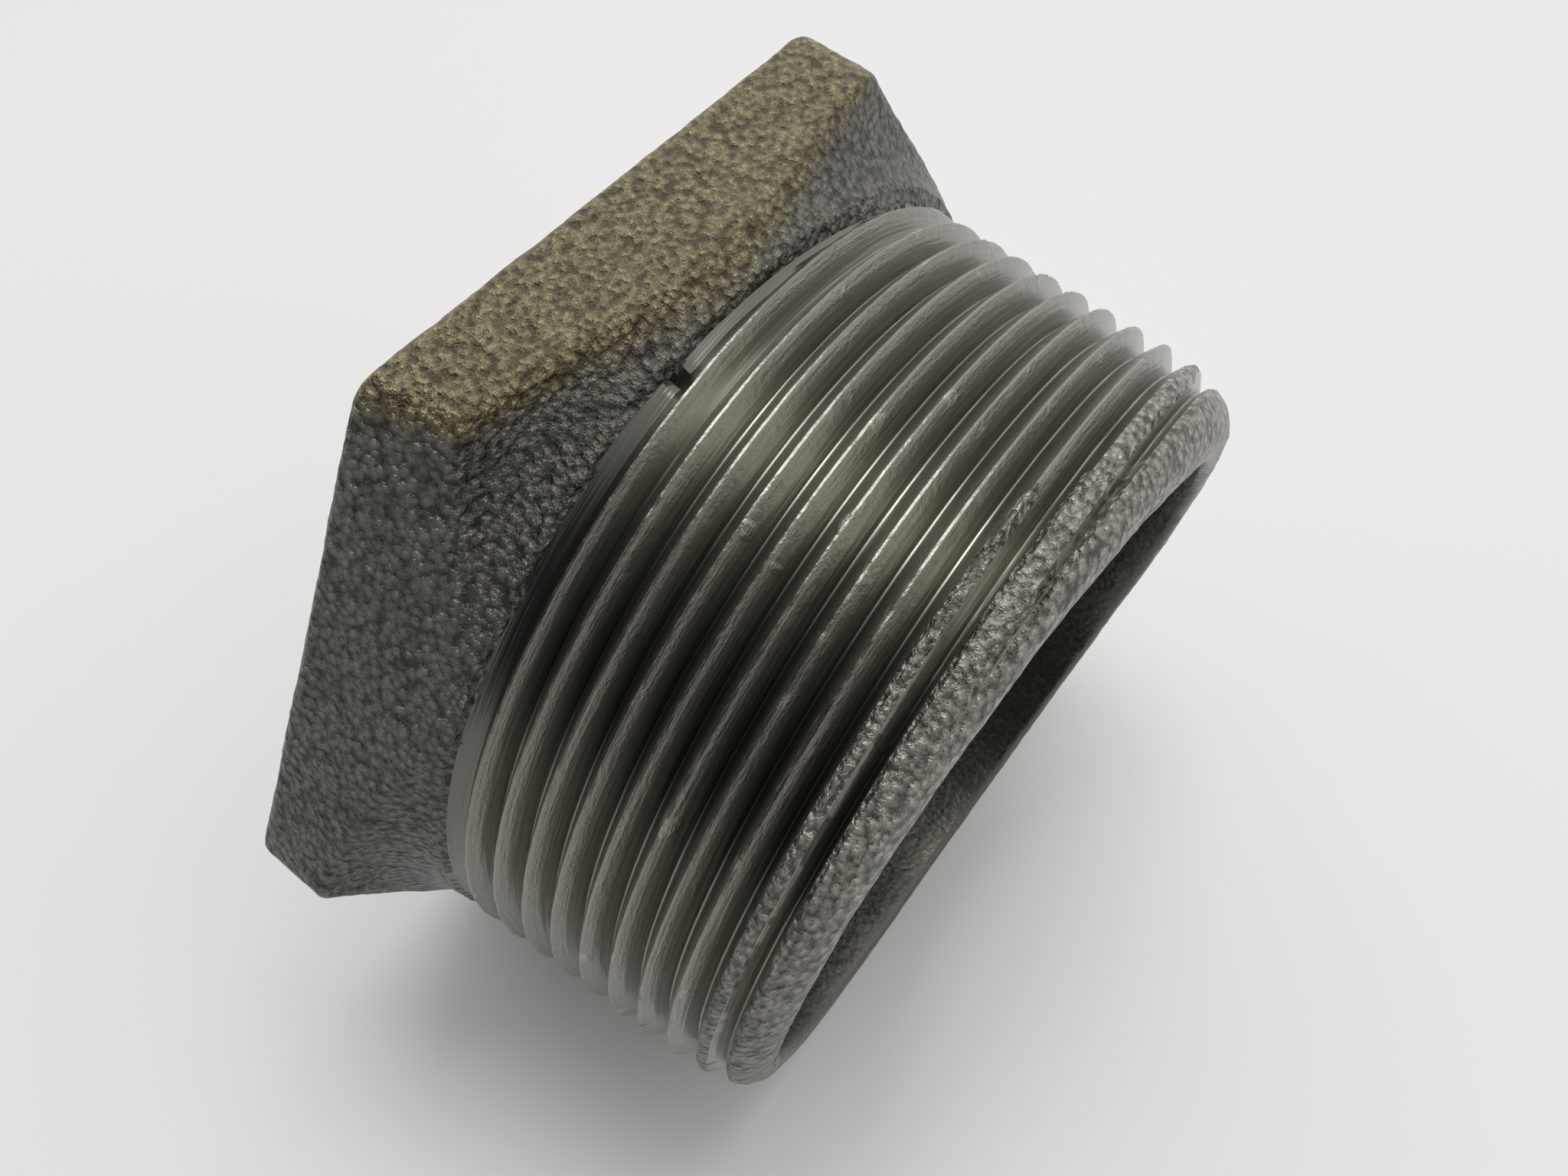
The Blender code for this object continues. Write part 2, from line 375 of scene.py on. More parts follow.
def blank_column(angle, climb):
    """Points of one column, from the mouth of the bore round the outside and back inside."""
    column = [point_on(distance, radius, angle) for distance, radius in head_rows(angle)]
    for row in MALE_ROWS:
        upright = row - PITCH + climb
        leaning = MALE_LEAN[0] * math.sin(angle) - MALE_LEAN[1] * math.cos(angle)
        distance = upright + male_crest_radius(upright) * leaning
        distance = min(LENGTH - LIP_RINGS_LENGTH, max(SHOULDER_END, distance))
        radius = barrel_radius(distance, angle)
        column.append(point_on(distance, radius, angle, *barrel_shift(distance)))
    for distance, radius in lip_rows(angle):
        shift = barrel_shift(distance) if radius > LIP_INNER_RADIUS else (0.0, 0.0)
        column.append(point_on(distance, radius, angle, *shift))
    for row in reversed(FEMALE_ROWS):
        distance = min(HOLLOW_START, max(MOUTH_DEPTH, row - PITCH + climb))
        radius = female_crest_radius(distance) - FEMALE_ALLOWANCE
        column.append(point_on(distance, radius, angle))
    column.append(point_on(MOUTH_DEPTH, MOUTH_RADIUS - MOUTH_DEPTH, angle))
    column.append(point_on(MOUTH_DEPTH / 2, MOUTH_RADIUS - MOUTH_DEPTH / 2, angle))
    return column


def cast_blank():
    """The bush as its mould shapes it, as one closed mesh whose rows follow the threads."""
    mesh = bmesh.new()
    columns = []
    for number in range(COLUMNS + 1):
        even = math.tau * number / COLUMNS
        angle = even + CORNER_CROWDING / 6 * math.sin(6 * even)
        points = blank_column(angle, PITCH * angle / math.tau)
        columns.append([mesh.verts.new(point) for point in points])
    for here, there in zip(columns, columns[1:]):
        for row in range(len(here)):
            mesh.faces.new((here[row - 1], here[row], there[row], there[row - 1]))
    bmesh.ops.remove_doubles(mesh, verts=mesh.verts, dist=MERGE)
    bmesh.ops.dissolve_degenerate(mesh, edges=mesh.edges, dist=MERGE)
    bmesh.ops.recalc_face_normals(mesh, faces=mesh.faces)
    data = bpy.data.meshes.new("bush")
    mesh.to_mesh(data)
    mesh.free()
    blank = bpy.data.objects.new("bush", data)
    bpy.context.scene.collection.objects.link(blank)
    return blank


# ---------------------------------------------------------------- sand, die and tap


def new_group(name, sizes):
    """A Geometry Nodes group with a geometry in and out and one named input for each size."""
    tree = bpy.data.node_groups.new(name, "GeometryNodeTree")
    tree.interface.new_socket("Geometry", in_out="OUTPUT", socket_type="NodeSocketGeometry")
    tree.interface.new_socket("Geometry", in_out="INPUT", socket_type="NodeSocketGeometry")
    for label, kind in sizes.items():
        tree.interface.new_socket(label, in_out="INPUT", socket_type=f"NodeSocket{kind}")
    return tree, tree.nodes.new("NodeGroupInput").outputs


def angle_round_axis(tree, arm):
    """Angle of a place round the pipe axis, from its arm across that axis."""
    parts = add(tree, "ShaderNodeSeparateXYZ", {0: arm})
    left = add(tree, "ShaderNodeMath", {0: parts.outputs["Y"], 1: -1.0}, operation="MULTIPLY")
    return add(tree, "ShaderNodeMath", {0: left, 1: parts.outputs["Z"]}, operation="ARCTAN2")


def sand_skin():
    """Group that moves the surface in and out as a sand mould does."""
    sizes = {
        "Wave Height": "Float",
        "Wave Length": "Float",
        "Grain Height": "Float",
        "Grain Size": "Float",
        "Seed": "Float",
        "Material": "Material",
    }
    tree, given = new_group("skin of a sand mould", sizes)
    place = add(tree, "GeometryNodeInputPosition")
    normal = add(tree, "GeometryNodeInputNormal")
    heights = []
    for size, height in (("Wave Length", "Wave Height"), ("Grain Size", "Grain Height")):
        scale = add(tree, "ShaderNodeMath", {0: 1.0, 1: given[size]}, operation="DIVIDE")
        noise = add(
            tree,
            "ShaderNodeTexNoise",
            {"Vector": place, "W": given["Seed"], "Scale": scale, "Detail": 2.0},
            noise_dimensions="4D",
        )
        centred = add(tree, "ShaderNodeMath", {0: noise, 1: 0.5}, operation="SUBTRACT")
        heights.append(
            add(tree, "ShaderNodeMath", {0: centred, 1: given[height]}, operation="MULTIPLY")
        )
    height = add(tree, "ShaderNodeMath", {0: heights[0], 1: heights[1]}, operation="ADD")
    move = add(tree, "ShaderNodeVectorMath", {0: normal, "Scale": height}, operation="SCALE")
    moved = add(
        tree, "GeometryNodeSetPosition", {"Geometry": given["Geometry"], "Offset": move}
    )
    real = add(tree, "GeometryNodeRealizeInstances", {"Geometry": moved})
    faced = add(
        tree, "GeometryNodeSetMaterial", {"Geometry": real, "Material": given["Material"]}
    )
    add(tree, "NodeGroupOutput", {"Geometry": faced})
    return tree


def taper_thread():
    """Group that cuts a taper thread into whatever stands in its way, outside or inside.

    Side is 1 for a die, which leaves nothing outside its profile, and -1 for a tap, which
    leaves nothing inside it.  Between Full Depth and No Depth the groove gets shallower.
    """
    sizes = {
        "Side": "Float",
        "Pitch": "Float",
        "Phase": "Float",
        "Depth": "Float",
        "Crest Width": "Float",
        "Root Width": "Float",
        "Crest Rounding": "Float",
        "Crest Radius": "Float",
        "Radius Distance": "Float",
        "Taper": "Float",
        "Lean": "Vector",
        "Shift": "Vector",
        "Pivot": "Float",
        "Full Depth": "Float",
        "No Depth": "Float",
        "Stop": "Float",
        "Far Stop": "Float",
        "Stop Angle": "Float",
        "Burr Height": "Float",
        "Crack Depth": "Float",
        "Burr Length": "Float",
        "Material": "Material",
    }
    tree, given = new_group("cut of a taper thread", sizes)
    axis = (-LENGTH / 2, 0.0, AXIS_HEIGHT)
    place = add(tree, "GeometryNodeInputPosition")
    on_axis = add(tree, "ShaderNodeVectorMath", {0: place, 1: axis}, operation="SUBTRACT")
    distance = add(tree, "ShaderNodeSeparateXYZ", {0: on_axis})

    # Distance along the tool, which leans, and the place across it
    from_pivot = add(
        tree, "ShaderNodeMath", {0: distance, 1: given["Pivot"]}, operation="SUBTRACT"
    )
    lean = add(
        tree,
        "ShaderNodeVectorMath",
        {0: given["Lean"], "Scale": from_pivot},
        operation="SCALE",
    )
    centre = add(tree, "ShaderNodeVectorMath", {0: lean, 1: given["Shift"]}, operation="ADD")
    across = add(
        tree, "ShaderNodeVectorMath", {0: on_axis, 1: (0.0, 1.0, 1.0)}, operation="MULTIPLY"
    )
    arm = add(tree, "ShaderNodeVectorMath", {0: across, 1: centre}, operation="SUBTRACT")
    radius = add(tree, "ShaderNodeVectorMath", {0: arm}, operation="LENGTH").outputs["Value"]
    leaned = add(
        tree, "ShaderNodeVectorMath", {0: arm, 1: given["Lean"]}, operation="DOT_PRODUCT"
    )
    along = add(
        tree, "ShaderNodeMath", {0: distance, 1: leaned.outputs["Value"]}, operation="ADD"
    )

    # Height of the profile, from the distance to the nearest crest of the helix
    angle = angle_round_axis(tree, arm)
    turn = add(tree, "ShaderNodeMath", {0: angle, 1: math.tau}, operation="DIVIDE")
    climb = add(tree, "ShaderNodeMath", {0: turn, 1: given["Pitch"]}, operation="MULTIPLY")
    from_helix = add(tree, "ShaderNodeMath", {0: along, 1: climb}, operation="SUBTRACT")
    from_phase = add(
        tree, "ShaderNodeMath", {0: from_helix, 1: given["Phase"]}, operation="SUBTRACT"
    )
    half_pitch = add(tree, "ShaderNodeMath", {0: given["Pitch"], 1: 2.0}, operation="DIVIDE")
    to_crest = add(
        tree, "ShaderNodeMath", {0: from_phase, 1: half_pitch}, operation="PINGPONG"
    )
    to_root = add(tree, "ShaderNodeMath", {0: half_pitch, 1: to_crest}, operation="SUBTRACT")
    half_root = add(
        tree, "ShaderNodeMath", {0: given["Root Width"], 1: 2.0}, operation="DIVIDE"
    )
    half_crest = add(
        tree, "ShaderNodeMath", {0: given["Crest Width"], 1: 2.0}, operation="DIVIDE"
    )
    to_edge = add(tree, "ShaderNodeMath", {0: half_pitch, 1: half_crest}, operation="SUBTRACT")
    height = add(
        tree,
        "ShaderNodeMapRange",
        {"Value": to_root, "From Min": half_root, "From Max": to_edge},
    )
    below_crest = add(tree, "ShaderNodeMath", {0: 1.0, 1: height}, operation="SUBTRACT")
    bulge = add(tree, "ShaderNodeMath", {0: height, 1: below_crest}, operation="MULTIPLY")
    torn = add(
        tree,
        "ShaderNodeMath",
        {0: bulge, 1: given["Crest Rounding"]},
        operation="MULTIPLY",
    )
    full_groove = add(tree, "ShaderNodeMath", {0: below_crest, 1: torn}, operation="SUBTRACT")

    # The soft iron breaks away along the crests
    breaks = add(
        tree,
        "ShaderNodeTexNoise",
        {"Vector": place, "Scale": 1 / CREST_BREAK_LENGTH, "Detail": 2.0},
    )
    broken = add(
        tree,
        "ShaderNodeMapRange",
        {
            "Value": breaks,
            "From Min": CREST_BREAK_NOISE[0],
            "From Max": CREST_BREAK_NOISE[1],
            "To Max": CREST_BREAK_DEPTH,
        },
    )
    near_crest = add(
        tree,
        "ShaderNodeMapRange",
        {"Value": full_groove, "From Min": CREST_BREAK_REACH, "From Max": 0.0},
    )
    missing = add(tree, "ShaderNodeMath", {0: broken, 1: near_crest}, operation="MULTIPLY")

    # The throat of the tool leaves a flat floor that rises to the end of the thread
    floor = add(
        tree,
        "ShaderNodeMapRange",
        {
            "Value": along,
            "From Min": given["Full Depth"],
            "From Max": given["No Depth"],
            "To Min": 1.0,
            "To Max": 0.0,
        },
    )
    groove = add(tree, "ShaderNodeMath", {0: full_groove, 1: floor}, operation="MINIMUM")
    depth = add(tree, "ShaderNodeMath", {0: groove, 1: given["Depth"]}, operation="MULTIPLY")
    tapered = add(
        tree, "ShaderNodeMath", {0: given["Radius Distance"], 1: along}, operation="SUBTRACT"
    )
    crest = add(
        tree,
        "ShaderNodeMath",
        {0: tapered, 1: given["Taper"], 2: given["Crest Radius"]},
        operation="MULTIPLY_ADD",
    )
    deeper = add(tree, "ShaderNodeMath", {0: depth, 1: missing}, operation="ADD")
    signed = add(tree, "ShaderNodeMath", {0: deeper, 1: given["Side"]}, operation="MULTIPLY")
    clean = add(tree, "ShaderNodeMath", {0: crest, 1: signed}, operation="SUBTRACT")

    # Where the last chip broke off, a burr and a crack cross the start of the cut
    burr_end = add(
        tree, "ShaderNodeMath", {0: given["Stop"], 1: given["Burr Length"]}, operation="ADD"
    )
    fade = add(
        tree,
        "ShaderNodeMapRange",
        {"Value": along, "From Min": burr_end, "From Max": given["Stop"]},
    )
    profile = clean
    for beside, height in ((0.0, given["Burr Height"]), (CRACK_BESIDE, given["Crack Depth"])):
        middle = add(
            tree, "ShaderNodeMath", {0: given["Stop Angle"], 1: beside}, operation="ADD"
        )
        turned = add(tree, "ShaderNodeMath", {0: angle, 1: middle}, operation="SUBTRACT")
        away = add(tree, "ShaderNodeMath", {0: turned}, operation="ABSOLUTE")
        near = add(
            tree, "ShaderNodeMapRange", {"Value": away, "From Min": BURR_WIDTH, "From Max": 0.0}
        )
        part = add(tree, "ShaderNodeMath", {0: near, 1: fade}, operation="MULTIPLY")
        raised = add(tree, "ShaderNodeMath", {0: part, 1: height}, operation="MULTIPLY")
        kind = "SUBTRACT" if beside else "ADD"
        profile = add(tree, "ShaderNodeMath", {0: profile, 1: raised}, operation=kind)

    # The tool removes what stands beyond its profile, up to where its face stopped
    overhang = add(tree, "ShaderNodeMath", {0: radius, 1: profile}, operation="SUBTRACT")
    proud = add(
        tree, "ShaderNodeMath", {0: overhang, 1: given["Side"]}, operation="MULTIPLY"
    )
    touched = add(tree, "ShaderNodeMath", {0: proud, 1: 0.0}, operation="GREATER_THAN")
    past_chip = add(
        tree, "ShaderNodeMath", {0: angle, 1: given["Stop Angle"]}, operation="GREATER_THAN"
    )
    stop = add(
        tree,
        "ShaderNodeMix",
        {"Factor": past_chip, "A": given["Stop"], "B": given["Far Stop"]},
        data_type="FLOAT",
    )
    reached = add(tree, "ShaderNodeMath", {0: along, 1: stop}, operation="GREATER_THAN")
    cut = add(tree, "ShaderNodeMath", {0: touched, 1: reached}, operation="MULTIPLY")
    newly_cut = add(tree, "ShaderNodeMath", {0: cut, 1: 0.5}, operation="GREATER_THAN")
    new_radius = add(
        tree, "ShaderNodeMix", {"Factor": cut, "A": radius, "B": profile}, data_type="FLOAT"
    )
    ratio = add(tree, "ShaderNodeMath", {0: new_radius, 1: radius}, operation="DIVIDE")
    growth = add(tree, "ShaderNodeMath", {0: ratio, 1: 1.0}, operation="SUBTRACT")
    move = add(tree, "ShaderNodeVectorMath", {0: arm, "Scale": growth}, operation="SCALE")

    # Marks that the finish follows: where it is cut, how deep, and how far along the tool
    marked = given["Geometry"]
    marks = {"cut": cut, "groove depth": full_groove, "along the tool": along}
    for name, value in marks.items():
        marked = add(
            tree,
            "GeometryNodeStoreNamedAttribute",
            {"Geometry": marked, "Name": name, "Value": value, "Selection": newly_cut},
            data_type="FLOAT",
            domain="POINT",
        )
    moved = add(tree, "GeometryNodeSetPosition", {"Geometry": marked, "Offset": move})
    real = add(tree, "GeometryNodeRealizeInstances", {"Geometry": moved})
    now_cut = add(tree, "GeometryNodeInputNamedAttribute", {"Name": "cut"}, data_type="FLOAT")
    mostly = add(tree, "ShaderNodeMath", {0: now_cut, 1: 0.6}, operation="GREATER_THAN")
    faced = add(
        tree,
        "GeometryNodeSetMaterial",
        {"Geometry": real, "Selection": mostly, "Material": given["Material"]},
    )
    add(tree, "NodeGroupOutput", {"Geometry": faced})
    return tree


def work(piece, tree, values):
    """Adds a group to a piece as a modifier, with a value for each of its named inputs."""
    modifier = piece.modifiers.new(tree.name, "NODES")
    modifier.node_group = tree
    for socket in tree.interface.items_tree:
        if socket.in_out == "INPUT" and socket.name in values:
            modifier[socket.identifier] = values[socket.name]


def finished(piece):
    """Turns the result of a piece's modifiers into its plain mesh."""
    graph = bpy.context.evaluated_depsgraph_get()
    made = bpy.data.meshes.new_from_object(piece.evaluated_get(graph), depsgraph=graph)
    piece.modifiers.clear()
    piece.data = made
    made.name = piece.name


# ---------------------------------------------------------------- finishes


def new_material(name):
    """A material with this name, its tree and its shader."""
    material = bpy.data.materials.new(name)
    material.use_nodes = True
    tree = material.node_tree
    return material, tree, tree.nodes["Principled BSDF"]


def cast_skin():
    """Black malleable iron as cast: annealing scale over a sand grained skin, lightly oiled.

    The scale is dark and mostly metallic.  Sand grains of about half a millimetre leave pimples
    and pits; their tops are worn a little brighter and carry a painted highlight, the pits hold
    dirt and painted shade, and the oil gives each one a small glint.
    The top flat has a thin bloom of rust.  The core left the hollow smoother, and the hollow is
    painted darker, as shade.
    """
    material, tree, shader = new_material("black malleable iron as cast")
    place = add(tree, "ShaderNodeTexCoord").outputs["Object"]
    grains = add(
        tree,
        "ShaderNodeTexVoronoi",
        {"Vector": place, "Scale": 1 / SAND_GRAIN, "Smoothness": 0.35},
        feature="SMOOTH_F1",
    ).outputs["Distance"]
    grit = add(
        tree,
        "ShaderNodeTexNoise",
        {"Vector": place, "Scale": 1 / GRIT, "Detail": 3.0, "Roughness": 0.6},
    )
    lumps = add(tree, "ShaderNodeTexNoise", {"Vector": place, "Scale": 1 / LUMP, "Detail": 1.0})
    fine = add(
        tree, "ShaderNodeMath", {0: grains, 1: -0.8, 2: grit}, operation="MULTIPLY_ADD"
    )
    relief = add(tree, "ShaderNodeMath", {0: lumps, 1: 0.8, 2: fine}, operation="MULTIPLY_ADD")

    # The hollow was left by a smoother core; this mask also paints the hollow darker, as shade
    on_axis = add(
        tree, "ShaderNodeVectorMath", {0: place, 1: (0.0, 0.0, AXIS_HEIGHT)}, operation="SUBTRACT"
    )
    across = add(
        tree, "ShaderNodeVectorMath", {0: on_axis, 1: (0.0, 1.0, 1.0)}, operation="MULTIPLY"
    )
    radius = add(tree, "ShaderNodeVectorMath", {0: across}, operation="LENGTH").outputs["Value"]
    rougher_and_unshaded = add(
        tree,
        "ShaderNodeMapRange",
        {"Value": radius, "From Min": CORE_SKIN[0], "From Max": CORE_SKIN[1], "To Min": 0.12},
    )
    bump = add(
        tree,
        "ShaderNodeBump",
        {"Height": relief, "Distance": SKIN_RELIEF, "Strength": rougher_and_unshaded},
    )

    # Scale, grey to olive in clouds, lighter round the lip, with painted shade that keeps the lip's
    # lower side darker than its upper side, and with a bloom of rust on the top flat
    cloud = add(tree, "ShaderNodeTexNoise", {"Vector": place, "Scale": 1 / CLOUD, "Detail": 4.0})
    tone = add(
        tree,
        "ShaderNodeMix",
        {"Factor": cloud, "A": colour("#5f5f5a"), "B": colour("#6d6b61")},
        data_type="RGBA",
    ).outputs["Result"]
    parts = add(tree, "ShaderNodeSeparateXYZ", {0: place})
    forward, up = parts.outputs["X"], parts.outputs["Z"]
    areas = []
    for value, (first, last), least in (
        (forward, LIGHTER_LIP, 0.0),
        (radius, LIGHTER_OUTSIDE, 0.0),
        (up, PAINTED_LIP_SHADE, 0.25),
        (up, RUSTED_TOP, 0.0),
    ):
        limits = {"Value": value, "From Min": first, "From Max": last, "To Min": least}
        areas.append(add(tree, "ShaderNodeMapRange", limits))
    by_lip, outside, painted_shade_from_below, on_top = areas
    lip_ring = add(tree, "ShaderNodeMath", {0: by_lip, 1: outside}, operation="MULTIPLY")
    # painted shade: the lip's lighter tone fades towards its lower side
    lip_tone_and_painted_shade = add(tree, "ShaderNodeMath", {0: lip_ring, 1: painted_shade_from_below}, operation="MULTIPLY")
    for area, shade in ((lip_tone_and_painted_shade, "#8f8d84"), (on_top, "#756e55")):
        tone = add(
            tree,
            "ShaderNodeMix",
            {"Factor": area, "A": tone, "B": colour(shade)},
            data_type="RGBA",
        ).outputs["Result"]

    # Grains stand out lighter on their worn tops, which carry a painted highlight, and dirt and
    # painted shade stay between them, though hardly in the hollow, which is painted evenly darker
    # as shade
    rubbed_and_painted_light = add(
        tree,
        "ShaderNodeMapRange",
        {"Value": fine, "From Min": -0.15, "From Max": 0.55, "To Min": 0.36, "To Max": 1.7},
    )
    # painted shade: in the hollow the colour is held at 0.8, evenly darker
    grain_and_painted_light = add(
        tree,
        "ShaderNodeMix",
        {"Factor": rougher_and_unshaded, "A": 0.80, "B": rubbed_and_painted_light},
        data_type="FLOAT",
    )
    speckled = add(tree, "ShaderNodeVectorMath", {0: tone, "Scale": grain_and_painted_light}, operation="SCALE")
    shine = add(
        tree,
        "ShaderNodeMapRange",
        {"Value": grit, "From Min": 0.3, "From Max": 0.7, "To Min": 0.20, "To Max": 0.46},
    )
    tree.links.new(speckled.outputs[0], shader.inputs["Base Color"])
    tree.links.new(shine.outputs[0], shader.inputs["Roughness"])
    tree.links.new(bump.outputs[0], shader.inputs["Normal"])
    shader.inputs["Metallic"].default_value = 0.85
    return material


def die_cut():
    """Malleable iron as the teeth of a die leave it: dark bright metal in fine rings.

    The teeth draw lines along the helix, which spread each highlight across the groove, and
    they tear the soft iron near the crests, where it glints.
    """
    material, tree, shader = new_material("die cut malleable iron")
    place = add(tree, "ShaderNodeTexCoord").outputs["Object"]
    along = add(tree, "ShaderNodeAttribute", attribute_name="along the tool").outputs["Fac"]
    depth = add(tree, "ShaderNodeAttribute", attribute_name="groove depth").outputs["Fac"]

    # Place on the unrolled helix: along the pipe axis, and round it
    arm = add(
        tree, "ShaderNodeVectorMath", {0: place, 1: (0.0, 0.0, AXIS_HEIGHT)}, operation="SUBTRACT"
    )
    angle = angle_round_axis(tree, arm)
    climb = add(tree, "ShaderNodeMath", {0: angle, 1: PITCH / math.tau}, operation="MULTIPLY")
    from_helix = add(tree, "ShaderNodeMath", {0: along, 1: climb}, operation="SUBTRACT")
    arc = add(tree, "ShaderNodeMath", {0: angle, 1: MALE_CREST_RADIUS}, operation="MULTIPLY")
    helix = add(tree, "ShaderNodeCombineXYZ", {"X": from_helix, "Z": arc})
    marks = []
    for (width, length), detail, roughness in (
        (TOOL_LINE, 2.0, 0.5),
        (TEAR, 3.0, 0.65),
        (TORN_PATCH, 1.0, 0.5),
    ):
        stretched = add(
            tree,
            "ShaderNodeVectorMath",
            {0: helix, 1: (1 / width, 1 / width, 1 / length)},
            operation="MULTIPLY",
        )
        grained = {"Vector": stretched, "Scale": 1.0, "Detail": detail, "Roughness": roughness}
        marks.append(add(tree, "ShaderNodeTexNoise", grained))
    lines, tears, patches = marks
    near_crest = add(
        tree,
        "ShaderNodeMapRange",
        {"Value": depth, "From Min": 0.15, "From Max": 0.65, "To Min": 1.0, "To Max": 0.0},
    )
    patchy = add(
        tree,
        "ShaderNodeMapRange",
        {"Value": patches, "From Min": 0.64, "From Max": 0.69, "To Min": 1.0, "To Max": 2.2},
    )
    likely = add(tree, "ShaderNodeMath", {0: near_crest, 1: patchy}, operation="MULTIPLY")
    torn = add(tree, "ShaderNodeMath", {0: tears, 1: likely}, operation="MULTIPLY")
    relief = add(tree, "ShaderNodeMath", {0: torn, 1: 1.3, 2: lines}, operation="MULTIPLY_ADD")
    bump = add(
        tree,
        "ShaderNodeBump",
        {"Height": relief, "Distance": CUT_RELIEF, "Strength": 1.0},
    )
    ringed = add(
        tree,
        "ShaderNodeMix",
        {"Factor": lines, "A": colour("#7b7a72"), "B": colour("#929086")},
        data_type="RGBA",
    ).outputs["Result"]
    bright_tears = add(
        tree, "ShaderNodeMapRange", {"Value": torn, "From Min": 0.55, "From Max": 1.0}
    )
    metal = add(
        tree,
        "ShaderNodeMix",
        {"Factor": bright_tears, "A": ringed, "B": colour("#a5a397")},
        data_type="RGBA",
    ).outputs["Result"]
    # The first turns, next to the head, are duller
    first_turns = add(
        tree,
        "ShaderNodeMapRange",
        {
            "Value": from_helix,
            "From Min": THROAT_START - PITCH,
            "From Max": THROAT_START - PITCH / 2,
            "To Min": 0.62,
        },
    )
    dulled = add(tree, "ShaderNodeVectorMath", {0: metal, "Scale": first_turns}, operation="SCALE")
    across = add(tree, "ShaderNodeCombineXYZ", {"X": 1.0})
    tree.links.new(dulled.outputs[0], shader.inputs["Base Color"])
    tree.links.new(bump.outputs[0], shader.inputs["Normal"])
    tree.links.new(across.outputs[0], shader.inputs["Tangent"])
    shader.inputs["Metallic"].default_value = 1.0
    shader.inputs["Roughness"].default_value = 0.28
    shader.inputs["Anisotropic"].default_value = 0.6
    return material


def paper():
    """Plain pale matt paper."""
    material, _, shader = new_material("white paper")
    shader.inputs["Base Color"].default_value = colour("#f2f2f2")
    shader.inputs["Roughness"].default_value = 0.9
    return material


# ---------------------------------------------------------------- the scene


def camera():
    """Camera above the lip side of the bush, looking down on it."""
    data = bpy.data.cameras.new("camera")
    data.lens = LENS
    data.sensor_width = SENSOR_WIDTH
    data.clip_start = NEAR_CLIP
    made = bpy.data.objects.new("camera", data)
    made.location = CAMERA_PLACE
    made.rotation_euler = CAMERA_TURN
    bpy.context.scene.collection.objects.link(made)
    bpy.context.scene.camera = made


def table():
    """A large sheet of paper, tilted as the bush tilts when it lies on it."""
    tilt = math.atan2(REST_CREST_HEIGHT, REST_CREST - REST_FRONT)
    corners = [(x * TABLE_HALF, y * TABLE_HALF, 0) for x, y in ((-1, -1), (1, -1), (1, 1), (-1, 1))]
    place = Matrix.Translation((REST_FRONT, 0, 0)) @ Matrix.Rotation(-tilt, 4, "Y")
    data = bpy.data.meshes.new("table")
    data.from_pydata([place @ Vector(corner) for corner in corners], [], [(0, 1, 2, 3)])
    data.materials.append(paper())
    made = bpy.data.objects.new("table", data)
    bpy.context.scene.collection.objects.link(made)


def soft_light(name, place, size, power):
    """A wide soft light that points at the bush."""
    data = bpy.data.lights.new(name, "AREA")
    data.shape = "RECTANGLE"
    data.size, data.size_y = size
    data.energy = power
    made = bpy.data.objects.new(name, data)
    made.location = place
    towards = Vector((0, 0, LIT_HEIGHT)) - Vector(place)
    made.rotation_euler = towards.to_track_quat("-Z", "Y").to_euler()
    bpy.context.scene.collection.objects.link(made)
    return made


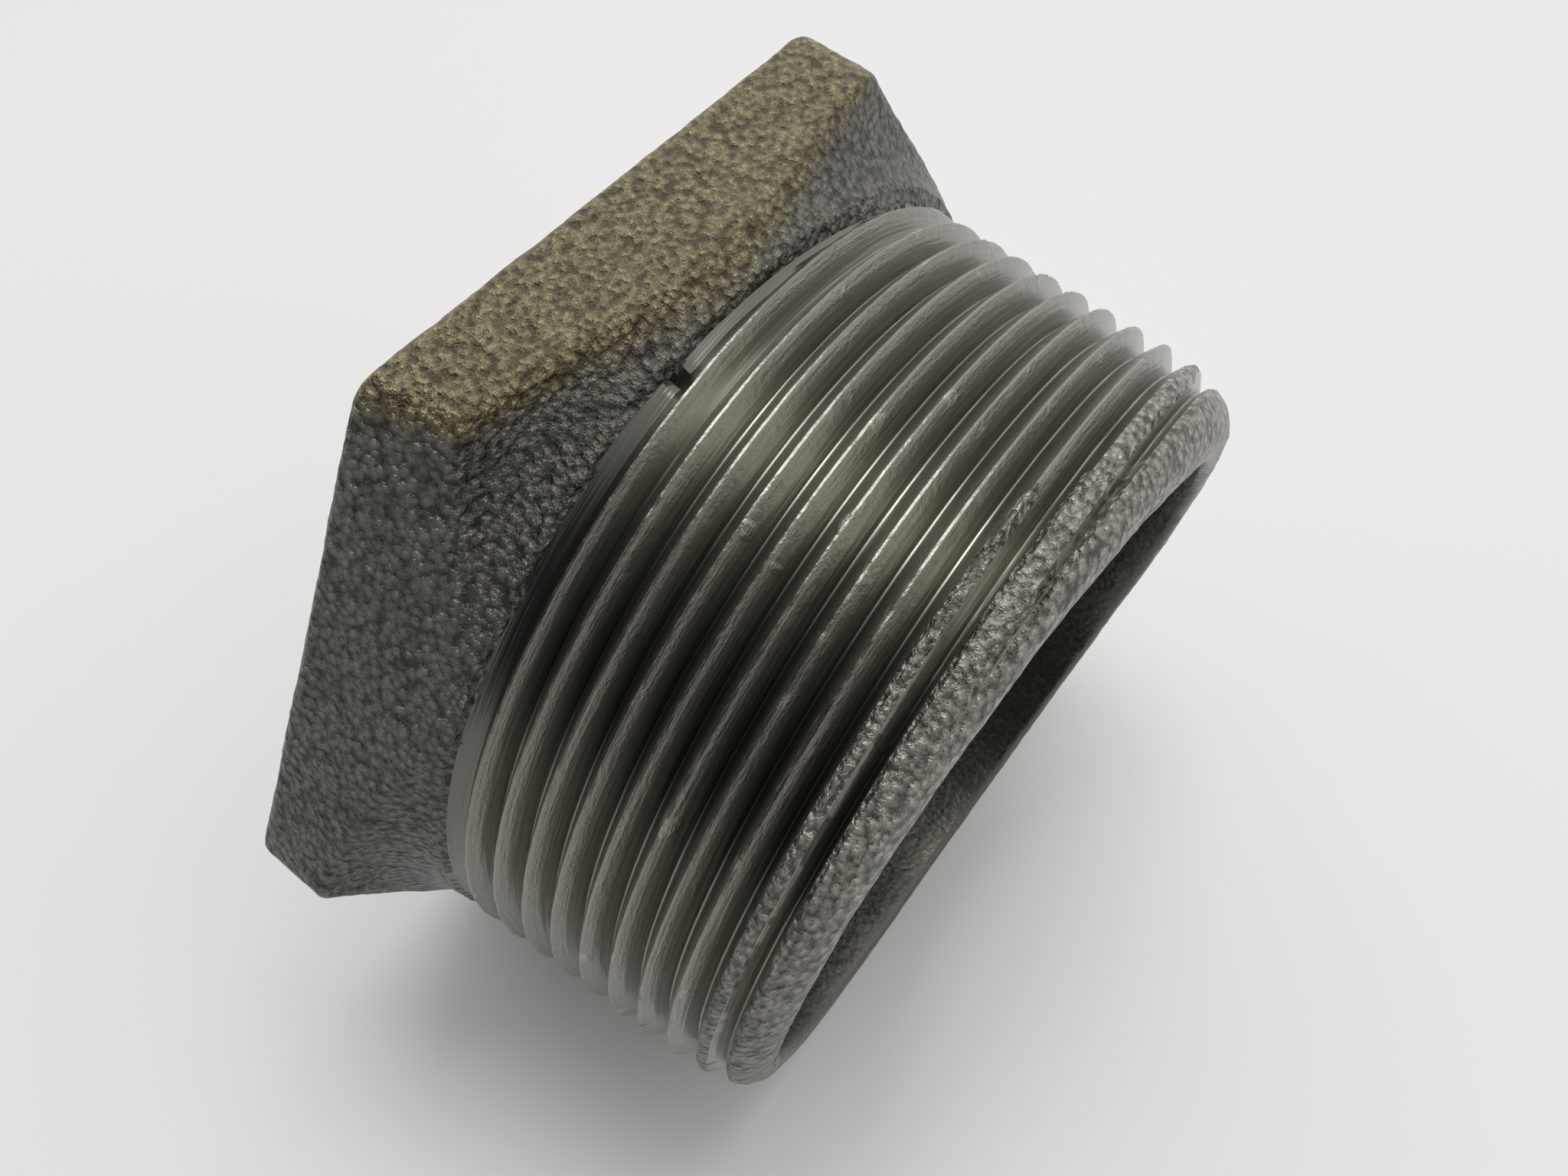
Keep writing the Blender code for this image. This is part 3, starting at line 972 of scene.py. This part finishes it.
def lights():
    """A pale room, brighter at the far side and dark at the near one, and two soft lights."""
    world = bpy.data.worlds.new("pale room")
    world.use_nodes = True
    tree = world.node_tree
    looking = add(tree, "ShaderNodeTexCoord").outputs["Generated"]
    parts = add(tree, "ShaderNodeSeparateXYZ", {0: looking})
    brightness = add(
        tree,
        "ShaderNodeMapRange",
        {
            "Value": parts.outputs["Y"],
            "From Min": -0.2,
            "From Max": 0.9,
            "To Min": 0.70,
            "To Max": 1.25,
        },
        interpolation_type="SMOOTHSTEP",
    )
    dark_side = Vector((0.12, -0.82, 0.48)).normalized()
    alignment = add(
        tree, "ShaderNodeVectorMath", {0: looking, 1: dark_side}, operation="DOT_PRODUCT"
    ).outputs["Value"]
    unshaded = add(
        tree,
        "ShaderNodeMapRange",
        {"Value": alignment, "From Min": 0.58, "From Max": 0.84, "To Min": 1.0, "To Max": 0.06},
        interpolation_type="SMOOTHSTEP",
    )
    shaded = add(tree, "ShaderNodeMath", {0: brightness, 1: unshaded}, operation="MULTIPLY")
    low_wall = add(
        tree,
        "ShaderNodeMapRange",
        {"Value": parts.outputs["Z"], "From Min": 0.20, "From Max": 0.03, "To Max": 0.12},
        interpolation_type="SMOOTHSTEP",
    )
    strength = add(tree, "ShaderNodeMath", {0: shaded, 1: low_wall}, operation="ADD")
    # Behind the table the room itself shows as one plain tone
    seen = add(tree, "ShaderNodeLightPath").outputs["Is Camera Ray"]
    plain = add(
        tree, "ShaderNodeMix", {"Factor": seen, "A": strength, "B": 0.82}, data_type="FLOAT"
    )
    back = tree.nodes["Background"]
    back.inputs["Color"].default_value = colour("#f5f3f3")
    tree.links.new(plain.outputs["Result"], back.inputs["Strength"])
    bpy.context.scene.world = world
    soft_light("ceiling light", (-0.06, 0.11, 0.58), (0.34, 0.20), 1.10)
    reflector = soft_light("reflector", (-0.60, 0.07, 0.60), (0.25, 0.50), 2.4)
    reflector.visible_diffuse = False  # it shows only as a highlight on the metal


bpy.context.scene.view_settings.view_transform = "Standard"
camera()
table()
lights()

bush = cast_blank()
skin = {
    "Wave Height": WAVE_HEIGHT,
    "Wave Length": WAVE_LENGTH,
    "Grain Height": GRAIN_HEIGHT,
    "Grain Size": GRAIN_SIZE,
    "Seed": SKIN_SEED,
    "Material": cast_skin(),
}
work(bush, sand_skin(), skin)
threads = taper_thread()
shared = {
    "Pitch": PITCH,
    "Depth": THREAD_DEPTH,
    "Crest Width": CREST_WIDTH,
    "Root Width": ROOT_WIDTH,
    "Crest Rounding": CREST_ROUNDING,
    "Taper": TAPER,
    "Material": die_cut(),
}
die = {
    "Side": 1.0,
    "Phase": MALE_PHASE,
    "Crest Radius": MALE_CREST_RADIUS,
    "Radius Distance": LENGTH,
    "Lean": (0.0, *MALE_LEAN),
    "Shift": (0.0, *MALE_SHIFT),
    "Pivot": LEAN_PIVOT,
    "Full Depth": THROAT_START,
    "No Depth": THROAT_END,
    "Stop": DIE_STOP,
    "Far Stop": DIE_STOP_FAR,
    "Stop Angle": DIE_STOP_ANGLE,
    "Burr Height": BURR_HEIGHT,
    "Crack Depth": CRACK_DEPTH,
    "Burr Length": BURR_LENGTH,
}
# The tap goes in through the end face, where nothing stops it and it leaves no burr
tap = {
    "Side": -1.0,
    "Crest Radius": FEMALE_CREST_RADIUS,
    "Full Depth": FEMALE_LENGTH - FEMALE_RUN_OUT,
    "No Depth": FEMALE_LENGTH,
    "Stop": NO_STOP,
    "Far Stop": NO_STOP,
    "Stop Angle": NO_STOP_ANGLE,
    "Burr Length": ANY_LENGTH,
}
work(bush, threads, shared | die)
work(bush, threads, shared | tap)
finished(bush)
bush.data.set_sharp_from_angle(angle=SHARP_EDGE)
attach(bush, "root")
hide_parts("bush_casting")
